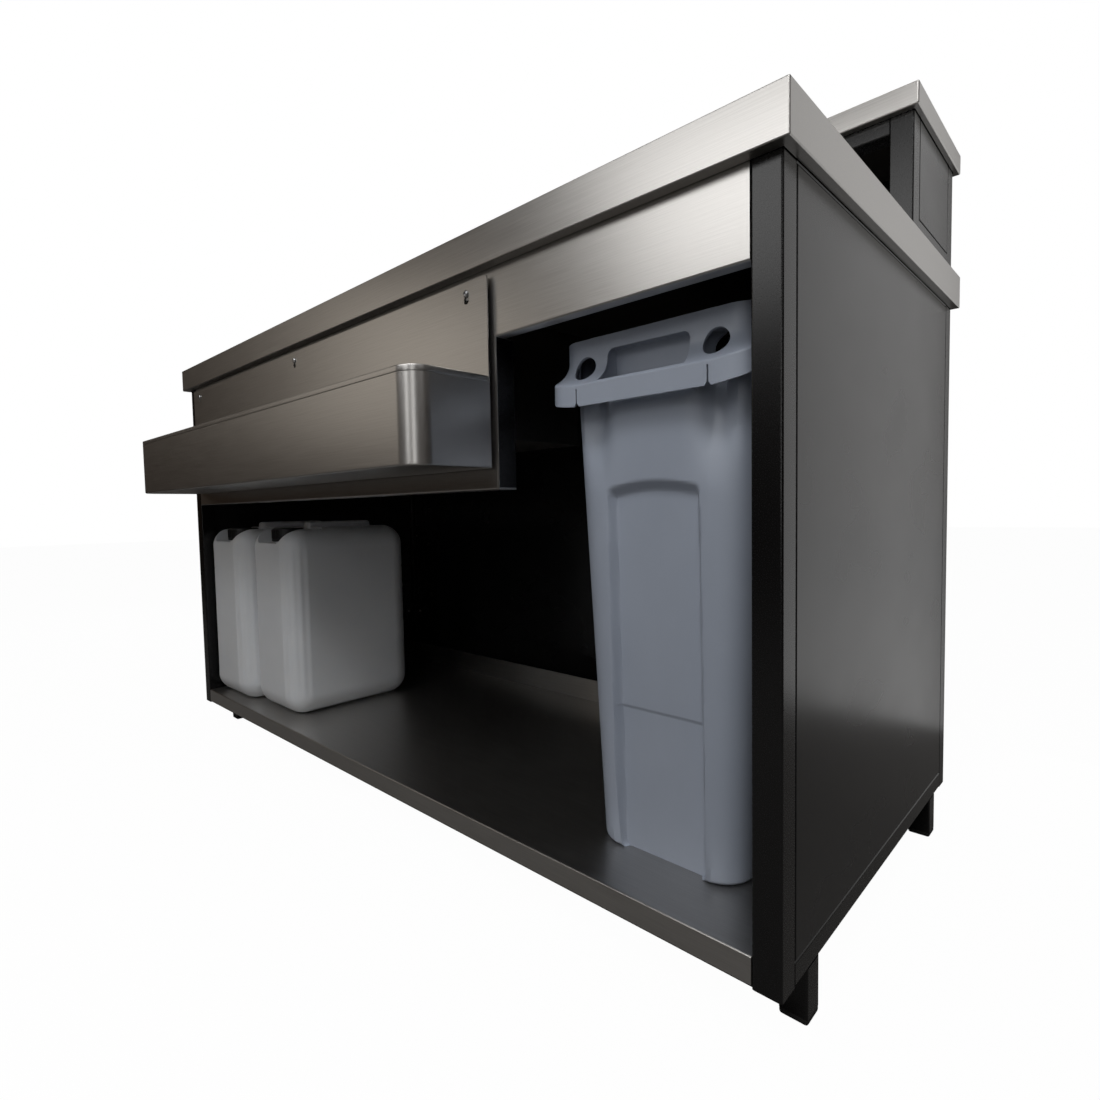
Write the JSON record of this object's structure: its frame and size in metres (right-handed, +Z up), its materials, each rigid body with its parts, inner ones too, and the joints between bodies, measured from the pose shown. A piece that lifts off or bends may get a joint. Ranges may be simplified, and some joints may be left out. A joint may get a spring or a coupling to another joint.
{
  "type": "portable bar counter",
  "caption": "Free-standing bar counter: black tube frame, stainless worktop with ice well, raised bar top, bottle rail, open shelf with slim bin and canisters.",
  "frame": {"origin": "On the floor, at the middle of the whole outline, bottle rail and bar top included.", "axes": "+X along the counter to the bartender's right, +Y towards the guests, +Z up. The bartender stands on the -Y side."},
  "size_m": [1.5, 0.7724, 1.06],
  "materials": {
    "black_powder_coat": "satin black powder coat",
    "black_board": "satin black laminate on board",
    "brushed_stainless": "long-grain brushed stainless",
    "zinc_screws": "bright zinc",
    "board_core": "moisture-resistant board",
    "foam": "rigid foam",
    "black_rubber": "matt",
    "valve_brass": "turned brass",
    "ball_chrome": "polished",
    "lever_red": "dipped vinyl",
    "grey_polyethylene": "satin moulded polyethylene",
    "natural_polyethylene": "translucent blow-moulded polyethylene",
    "black_polypropylene": "satin moulded polypropylene"
  },
  "bodies": {
    "counter": {"front_left_post": "black_powder_coat", "front_right_post": "black_powder_coat", "rear_left_post": "black_powder_coat", "rear_right_post": "black_powder_coat", "front_left_leg": "black_powder_coat", "front_right_leg": "black_powder_coat", "rear_left_leg": "black_powder_coat", "rear_right_leg": "black_powder_coat", "foot_caps": "black_rubber", "bottom_front_rail": "black_powder_coat", "bottom_rear_rail": "black_powder_coat", "bottom_left_rail": "black_powder_coat", "bottom_right_rail": "black_powder_coat", "shelf_bearers": "black_powder_coat", "top_front_rail": "black_powder_coat", "top_rear_rail": "black_powder_coat", "top_left_rail": "black_powder_coat", "top_right_rail": "black_powder_coat", "fascia_post": "black_powder_coat", "fascia_rail": "black_powder_coat", "bottom_shelf": "brushed_stainless", "left_side_panel": "black_board", "right_side_panel": "black_board", "back_panel": "black_board", "panel_cleats": "black_powder_coat", "panel_screws": "zinc_screws", "worktop": "brushed_stainless", "worktop_board": "board_core", "top_bolts": "zinc_screws", "fascia": "brushed_stainless", "fascia_screws": "zinc_screws", "well_liner": "brushed_stainless", "well_insulation": "foam", "well_jacket": "brushed_stainless", "false_bottom": "brushed_stainless", "drain_pipe": "brushed_stainless", "drain_valve": "valve_brass", "riser_left_frame": "black_powder_coat", "riser_right_frame": "black_powder_coat", "riser_left_panel": "black_board", "riser_right_panel": "black_board", "riser_cross_rails": "black_powder_coat", "riser_back_panel": "black_board", "riser_bolts": "zinc_screws", "bar_top": "brushed_stainless", "bar_board": "board_core", "rail_studs": "zinc_screws", "rail_buffers": "black_rubber"},
    "speed_rail": {"speed_rail": "brushed_stainless"},
    "well_lid": {"well_lid": "brushed_stainless", "lid_handle": "brushed_stainless"},
    "drain_lever": {"valve_ball": "ball_chrome", "valve_lever": "lever_red"},
    "waste_bin": {"waste_bin": "grey_polyethylene"},
    "left_canister": {"left_canister": "natural_polyethylene"},
    "right_canister": {"right_canister": "natural_polyethylene"},
    "left_cap": {"left_cap": "black_polypropylene"},
    "right_cap": {"right_cap": "black_polypropylene"}
  },
  "joints": [
    {"name": "speed_rail_lift", "type": "slide", "parent": "counter", "child": "speed_rail", "axis": [0, 0, 1], "range_m": [0, 0.008]},
    {"name": "lid_lift", "type": "slide", "parent": "counter", "child": "well_lid", "axis": [0, 0, 1], "range_m": [0, 0.15]},
    {"name": "drain_turn", "type": "hinge", "parent": "counter", "child": "drain_lever", "pos_m": [-0.1675, -0.04075, 0.6], "axis": [0, 1, 0], "range_deg": [0, 90]},
    {"name": "bin_slide", "type": "slide", "parent": "counter", "child": "waste_bin", "axis": [0, -1, 0], "range_m": [0, 0.62]},
    {"name": "left_canister_slide", "type": "slide", "parent": "counter", "child": "left_canister", "axis": [0, -1, 0], "range_m": [0, 0.45]},
    {"name": "right_canister_slide", "type": "slide", "parent": "counter", "child": "right_canister", "axis": [0, -1, 0], "range_m": [0, 0.45]},
    {"name": "left_cap_turn", "type": "hinge", "parent": "left_canister", "child": "left_cap", "pos_m": [-0.608, -0.20275, 0.4718], "axis": [0, 0, 1], "continuous": true},
    {"name": "right_cap_turn", "type": "hinge", "parent": "right_canister", "child": "right_cap", "pos_m": [-0.408, -0.18475, 0.4718], "axis": [0, 0, 1], "continuous": true}
  ]
}
